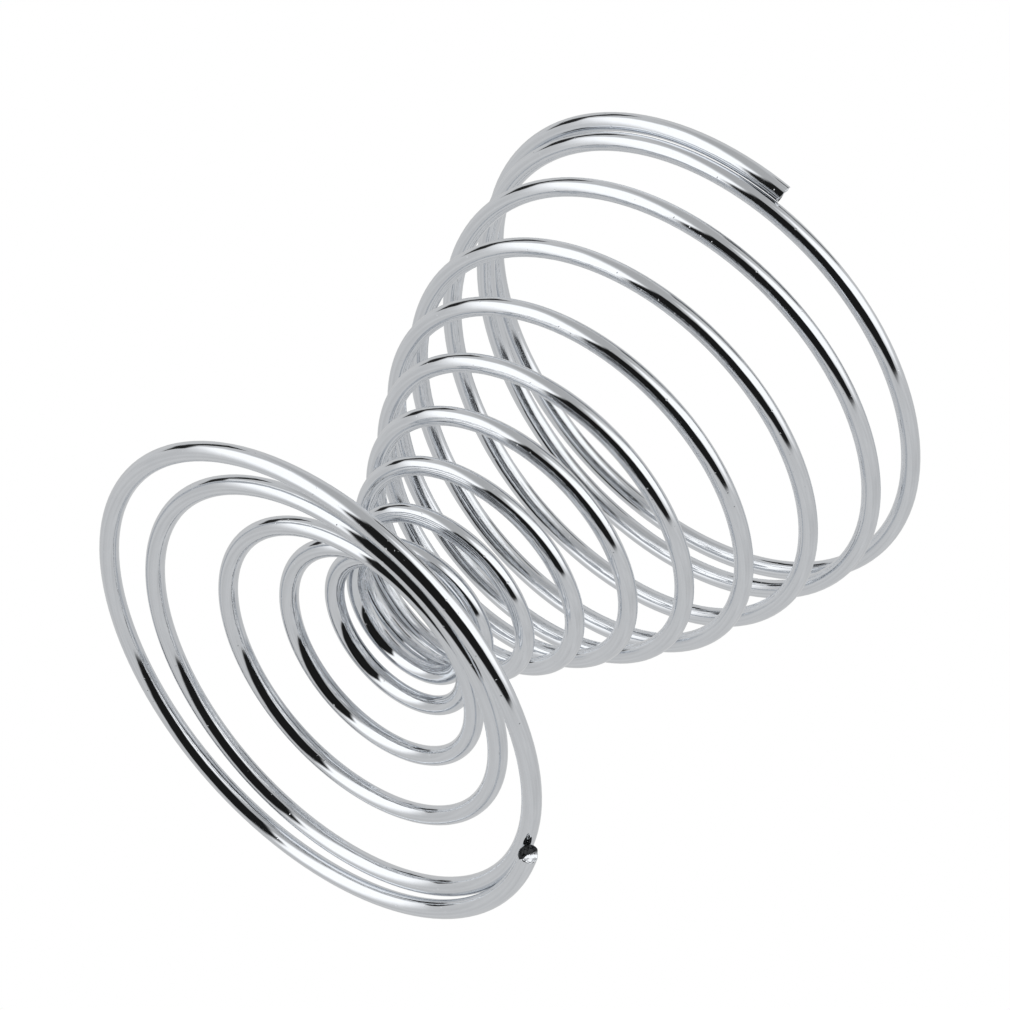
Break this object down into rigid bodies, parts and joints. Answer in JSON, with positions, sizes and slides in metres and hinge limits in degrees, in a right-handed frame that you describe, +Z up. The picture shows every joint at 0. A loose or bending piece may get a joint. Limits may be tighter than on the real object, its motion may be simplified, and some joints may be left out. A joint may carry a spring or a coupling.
{
  "type": "spring egg cup",
  "caption": "Sprung egg cup wound from one round steel wire: a coiled cone foot, a narrow waist and a flaring open cup that bounces and sways like a coil toy.",
  "frame": {"origin": "centre of the foot ring, on the table plane that the foot ring rests on", "axes": "+Z up through the open mouth of the cup, +X through the free end of the wire at the foot"},
  "size_m": [0.0522, 0.0524, 0.0586],
  "materials": {
    "plated_wire": "bright plated, drawn steel spring wire"
  },
  "bodies": {
    "foot_ring": {"foot_ring": "plated_wire"},
    "base_coil_01": {"base_coil_01": "plated_wire"},
    "base_coil_02": {"base_coil_02": "plated_wire"},
    "base_coil_03": {"base_coil_03": "plated_wire"},
    "base_coil_04": {"base_coil_04": "plated_wire"},
    "base_coil_05": {"base_coil_05": "plated_wire"},
    "base_coil_06": {"base_coil_06": "plated_wire"},
    "base_coil_07": {"base_coil_07": "plated_wire"},
    "base_coil_08": {"base_coil_08": "plated_wire"},
    "base_coil_09": {"base_coil_09": "plated_wire"},
    "base_coil_10": {"base_coil_10": "plated_wire"},
    "base_coil_11": {"base_coil_11": "plated_wire"},
    "waist_coil": {"waist_coil": "plated_wire"},
    "cup_coil_01": {"cup_coil_01": "plated_wire"},
    "cup_coil_02": {"cup_coil_02": "plated_wire"},
    "cup_coil_03": {"cup_coil_03": "plated_wire"},
    "cup_coil_04": {"cup_coil_04": "plated_wire"},
    "cup_coil_05": {"cup_coil_05": "plated_wire"},
    "cup_coil_06": {"cup_coil_06": "plated_wire"},
    "cup_coil_07": {"cup_coil_07": "plated_wire"},
    "cup_coil_08": {"cup_coil_08": "plated_wire"},
    "cup_coil_09": {"cup_coil_09": "plated_wire"},
    "cup_coil_10": {"cup_coil_10": "plated_wire"},
    "cup_coil_11": {"cup_coil_11": "plated_wire"},
    "cup_coil_12": {"cup_coil_12": "plated_wire"},
    "cup_coil_13": {"cup_coil_13": "plated_wire"},
    "cup_coil_14": {"cup_coil_14": "plated_wire"},
    "cup_coil_15": {"cup_coil_15": "plated_wire"},
    "cup_coil_16": {"cup_coil_16": "plated_wire"},
    "cup_coil_17": {"cup_coil_17": "plated_wire"},
    "cup_coil_18": {"cup_coil_18": "plated_wire"},
    "cup_coil_19": {"cup_coil_19": "plated_wire"},
    "cup_coil_20": {"cup_coil_20": "plated_wire"},
    "cup_coil_21": {"cup_coil_21": "plated_wire"},
    "cup_coil_22": {"cup_coil_22": "plated_wire"},
    "cup_coil_23": {"cup_coil_23": "plated_wire"},
    "cup_coil_24": {"cup_coil_24": "plated_wire"},
    "cup_coil_25": {"cup_coil_25": "plated_wire"},
    "cup_coil_26": {"cup_coil_26": "plated_wire"},
    "rim_ring": {"rim_ring": "plated_wire"}
  },
  "joints": [
    {"name": "base_coil_01_twist", "type": "hinge", "parent": "foot_ring", "child": "base_coil_01", "pos_m": [0.00026, 0.02236, 0.00259], "axis": [-0.999, -0.0422, 0.0171], "range_deg": [-1.29, 0.65], "stiffness_Nm_per_rad": 1.309, "springref_deg": 0.25},
    {"name": "base_coil_02_twist", "type": "hinge", "parent": "base_coil_01", "child": "base_coil_02", "pos_m": [-0.02038, 0, 0.00323], "axis": [0.0561, -0.9982, 0.0208], "range_deg": [-1.18, 0.59], "stiffness_Nm_per_rad": 1.4119, "springref_deg": 0.21},
    {"name": "base_coil_03_twist", "type": "hinge", "parent": "base_coil_02", "child": "base_coil_03", "pos_m": [0.00045, -0.01899, 0.00392], "axis": [0.9981, 0.0571, 0.0232], "range_deg": [-1.24, 0.62], "stiffness_Nm_per_rad": 1.5418, "springref_deg": 0.17},
    {"name": "base_coil_04_twist", "type": "hinge", "parent": "base_coil_03", "child": "base_coil_04", "pos_m": [0.01795, 0, 0.0046], "axis": [-0.0478, 0.9986, 0.0237], "range_deg": [-1, 0.5], "stiffness_Nm_per_rad": 1.6823, "springref_deg": 0.14},
    {"name": "base_coil_05_twist", "type": "hinge", "parent": "base_coil_04", "child": "base_coil_05", "pos_m": [0.00065, 0.01601, 0.00524], "axis": [-0.9982, -0.0542, 0.0254], "range_deg": [-0.7, 0.35], "stiffness_Nm_per_rad": 1.828, "springref_deg": 0.12},
    {"name": "base_coil_06_twist", "type": "hinge", "parent": "base_coil_05", "child": "base_coil_06", "pos_m": [-0.01394, 0, 0.00588], "axis": [0.0599, -0.9978, 0.028], "range_deg": [-0.614, 0.307], "stiffness_Nm_per_rad": 1.993, "springref_deg": 0.1},
    {"name": "base_coil_07_twist", "type": "hinge", "parent": "base_coil_06", "child": "base_coil_07", "pos_m": [0.00084, -0.01344, 0.00654], "axis": [0.9979, 0.0563, 0.032], "range_deg": [-0.594, 0.297], "stiffness_Nm_per_rad": 2.1773, "springref_deg": 0.08},
    {"name": "base_coil_08_twist", "type": "hinge", "parent": "base_coil_07", "child": "base_coil_08", "pos_m": [0.01323, 0, 0.00725], "axis": [-0.0522, 0.9979, 0.0381], "range_deg": [-0.485, 0.243], "stiffness_Nm_per_rad": 2.3798, "springref_deg": 0.07},
    {"name": "base_coil_09_twist", "type": "hinge", "parent": "base_coil_08", "child": "base_coil_09", "pos_m": [0.001, 0.01126, 0.00804], "axis": [-0.9973, -0.0562, 0.0475], "range_deg": [-0.359, 0.179], "stiffness_Nm_per_rad": 2.5997, "springref_deg": 0.05},
    {"name": "base_coil_10_twist", "type": "hinge", "parent": "base_coil_09", "child": "base_coil_10", "pos_m": [-0.00926, 0, 0.0089], "axis": [0.0582, -0.9969, 0.0532], "range_deg": [-0.308, 0.154], "stiffness_Nm_per_rad": 2.8384, "springref_deg": 0.04},
    {"name": "base_coil_11_twist", "type": "hinge", "parent": "base_coil_10", "child": "base_coil_11", "pos_m": [0.00109, -0.00946, 0.00975], "axis": [0.9971, 0.054, 0.0544], "range_deg": [-0.288, 0.144], "stiffness_Nm_per_rad": 3.0944, "springref_deg": 0.04},
    {"name": "waist_coil_twist", "type": "hinge", "parent": "base_coil_11", "child": "waist_coil", "pos_m": [0.0098, 0, 0.0105], "axis": [-0.052, 0.9974, 0.0497], "range_deg": [-0.24, 0.12], "stiffness_Nm_per_rad": 3.3645, "springref_deg": 0.03},
    {"name": "cup_coil_01_twist", "type": "hinge", "parent": "waist_coil", "child": "cup_coil_01", "pos_m": [0.0108, 0, 0.0179], "axis": [0.0393, 0.997, 0.066], "range_deg": [-0.299, 0.15], "stiffness_Nm_per_rad": 3.0177, "springref_deg": 0.04},
    {"name": "cup_coil_02_twist", "type": "hinge", "parent": "cup_coil_01", "child": "cup_coil_02", "pos_m": [0.0011, 0.0103, 0.01893], "axis": [-0.9972, 0.0365, 0.0648], "range_deg": [-0.304, 0.152], "stiffness_Nm_per_rad": 2.8432, "springref_deg": 0.04},
    {"name": "cup_coil_03_twist", "type": "hinge", "parent": "cup_coil_02", "child": "cup_coil_03", "pos_m": [-0.00978, 0, 0.02], "axis": [-0.0342, -0.9974, 0.0636], "range_deg": [-0.342, 0.171], "stiffness_Nm_per_rad": 2.6895, "springref_deg": 0.04},
    {"name": "cup_coil_04_twist", "type": "hinge", "parent": "cup_coil_03", "child": "cup_coil_04", "pos_m": [0.0011, -0.01147, 0.02111], "axis": [0.9975, -0.0324, 0.0622], "range_deg": [-0.423, 0.211], "stiffness_Nm_per_rad": 2.5522, "springref_deg": 0.04},
    {"name": "cup_coil_05_twist", "type": "hinge", "parent": "cup_coil_04", "child": "cup_coil_05", "pos_m": [0.01316, 0, 0.02225], "axis": [0.031, 0.9977, 0.0606], "range_deg": [-0.465, 0.233], "stiffness_Nm_per_rad": 2.4279, "springref_deg": 0.05},
    {"name": "cup_coil_06_twist", "type": "hinge", "parent": "cup_coil_05", "child": "cup_coil_06", "pos_m": [0.0011, 0.01265, 0.02341], "axis": [-0.9978, 0.03, 0.059], "range_deg": [-0.456, 0.228], "stiffness_Nm_per_rad": 2.3142, "springref_deg": 0.05},
    {"name": "cup_coil_07_twist", "type": "hinge", "parent": "cup_coil_06", "child": "cup_coil_07", "pos_m": [-0.01215, 0, 0.02459], "axis": [-0.0292, -0.9979, 0.0571], "range_deg": [-0.504, 0.252], "stiffness_Nm_per_rad": 2.209, "springref_deg": 0.05},
    {"name": "cup_coil_08_twist", "type": "hinge", "parent": "cup_coil_07", "child": "cup_coil_08", "pos_m": [0.0011, -0.01387, 0.02579], "axis": [0.9981, -0.0286, 0.0552], "range_deg": [-0.624, 0.312], "stiffness_Nm_per_rad": 2.1109, "springref_deg": 0.06},
    {"name": "cup_coil_09_twist", "type": "hinge", "parent": "cup_coil_08", "child": "cup_coil_09", "pos_m": [0.0156, 0, 0.027], "axis": [0.0282, 0.9982, 0.0531], "range_deg": [-0.68, 0.34], "stiffness_Nm_per_rad": 2.0187, "springref_deg": 0.07},
    {"name": "cup_coil_10_twist", "type": "hinge", "parent": "cup_coil_09", "child": "cup_coil_10", "pos_m": [0.0011, 0.01516, 0.0282], "axis": [-0.9983, 0.0287, 0.05], "range_deg": [-0.65, 0.325], "stiffness_Nm_per_rad": 1.9302, "springref_deg": 0.07},
    {"name": "cup_coil_11_twist", "type": "hinge", "parent": "cup_coil_10", "child": "cup_coil_11", "pos_m": [-0.01476, 0, 0.02939], "axis": [-0.0285, -0.9985, 0.0477], "range_deg": [-0.72, 0.36], "stiffness_Nm_per_rad": 1.8452, "springref_deg": 0.07},
    {"name": "cup_coil_12_twist", "type": "hinge", "parent": "cup_coil_11", "child": "cup_coil_12", "pos_m": [0.0011, -0.01658, 0.03059], "axis": [0.9985, -0.0277, 0.0462], "range_deg": [-0.91, 0.45], "stiffness_Nm_per_rad": 1.7653, "springref_deg": 0.07},
    {"name": "cup_coil_13_twist", "type": "hinge", "parent": "cup_coil_12", "child": "cup_coil_13", "pos_m": [0.01841, 0, 0.03181], "axis": [0.0266, 0.9986, 0.0455], "range_deg": [-0.98, 0.49], "stiffness_Nm_per_rad": 1.6914, "springref_deg": 0.08},
    {"name": "cup_coil_14_twist", "type": "hinge", "parent": "cup_coil_13", "child": "cup_coil_14", "pos_m": [0.0011, 0.01802, 0.03307], "axis": [-0.9986, 0.025, 0.0455], "range_deg": [-0.91, 0.45], "stiffness_Nm_per_rad": 1.624, "springref_deg": 0.08},
    {"name": "cup_coil_15_twist", "type": "hinge", "parent": "cup_coil_14", "child": "cup_coil_15", "pos_m": [-0.01762, 0, 0.03439], "axis": [-0.0232, -0.9987, 0.0462], "range_deg": [-0.99, 0.49], "stiffness_Nm_per_rad": 1.5636, "springref_deg": 0.08},
    {"name": "cup_coil_16_twist", "type": "hinge", "parent": "cup_coil_15", "child": "cup_coil_16", "pos_m": [0.0011, -0.01938, 0.0358], "axis": [0.9986, -0.021, 0.0475], "range_deg": [-1.26, 0.63], "stiffness_Nm_per_rad": 1.5101, "springref_deg": 0.08},
    {"name": "cup_coil_17_twist", "type": "hinge", "parent": "cup_coil_16", "child": "cup_coil_17", "pos_m": [0.0211, 0, 0.0373], "axis": [0.0187, 0.9986, 0.0495], "range_deg": [-1.33, 0.67], "stiffness_Nm_per_rad": 1.4636, "springref_deg": 0.09},
    {"name": "cup_coil_18_twist", "type": "hinge", "parent": "cup_coil_17", "child": "cup_coil_18", "pos_m": [0.0011, 0.02057, 0.03893], "axis": [-0.9985, 0.0173, 0.0525], "range_deg": [-1.17, 0.59], "stiffness_Nm_per_rad": 1.4228, "springref_deg": 0.09},
    {"name": "cup_coil_19_twist", "type": "hinge", "parent": "cup_coil_18", "child": "cup_coil_19", "pos_m": [-0.02002, 0, 0.04069], "axis": [-0.016, -0.9984, 0.0544], "range_deg": [-1.25, 0.62], "stiffness_Nm_per_rad": 1.3861, "springref_deg": 0.08},
    {"name": "cup_coil_20_twist", "type": "hinge", "parent": "cup_coil_19", "child": "cup_coil_20", "pos_m": [0.0011, -0.02164, 0.04254], "axis": [0.9984, -0.0149, 0.0553], "range_deg": [-1.59, 0.79], "stiffness_Nm_per_rad": 1.3528, "springref_deg": 0.08},
    {"name": "cup_coil_21_twist", "type": "hinge", "parent": "cup_coil_20", "child": "cup_coil_21", "pos_m": [0.02323, 0, 0.04444], "axis": [0.0139, 0.9984, 0.0551], "range_deg": [-1.65, 0.82], "stiffness_Nm_per_rad": 1.3226, "springref_deg": 0.08},
    {"name": "cup_coil_22_twist", "type": "hinge", "parent": "cup_coil_21", "child": "cup_coil_22", "pos_m": [0.0011, 0.0226, 0.04637], "axis": [-0.9985, 0.013, 0.054], "range_deg": [-1.41, 0.7], "stiffness_Nm_per_rad": 1.295, "springref_deg": 0.08},
    {"name": "cup_coil_23_twist", "type": "hinge", "parent": "cup_coil_22", "child": "cup_coil_23", "pos_m": [-0.02195, 0, 0.04827], "axis": [-0.0122, -0.9986, 0.0521], "range_deg": [-1.49, 0.74], "stiffness_Nm_per_rad": 1.2697, "springref_deg": 0.07},
    {"name": "cup_coil_24_twist", "type": "hinge", "parent": "cup_coil_23", "child": "cup_coil_24", "pos_m": [0.0011, -0.02349, 0.05013], "axis": [0.9987, -0.0114, 0.0493], "range_deg": [-1.89, 0.94], "stiffness_Nm_per_rad": 1.2464, "springref_deg": 0.07},
    {"name": "cup_coil_25_twist", "type": "hinge", "parent": "cup_coil_24", "child": "cup_coil_25", "pos_m": [0.025, 0, 0.0519], "axis": [0.0108, 0.9989, 0.0456], "range_deg": [-1.93, 0.97], "stiffness_Nm_per_rad": 1.2247, "springref_deg": 0.07},
    {"name": "cup_coil_26_twist", "type": "hinge", "parent": "cup_coil_25", "child": "cup_coil_26", "pos_m": [0.0011, 0.02418, 0.05359], "axis": [-0.9991, 0.0048, 0.043], "range_deg": [-1.61, 0.81], "stiffness_Nm_per_rad": 1.2105, "springref_deg": 0.05},
    {"name": "rim_ring_twist", "type": "hinge", "parent": "cup_coil_26", "child": "rim_ring", "pos_m": [-0.02322, 0, 0.0551], "axis": [-0.0032, -0.9994, 0.0354], "range_deg": [-1.66, 0.83], "stiffness_Nm_per_rad": 1.2035, "springref_deg": 0.04}
  ]
}
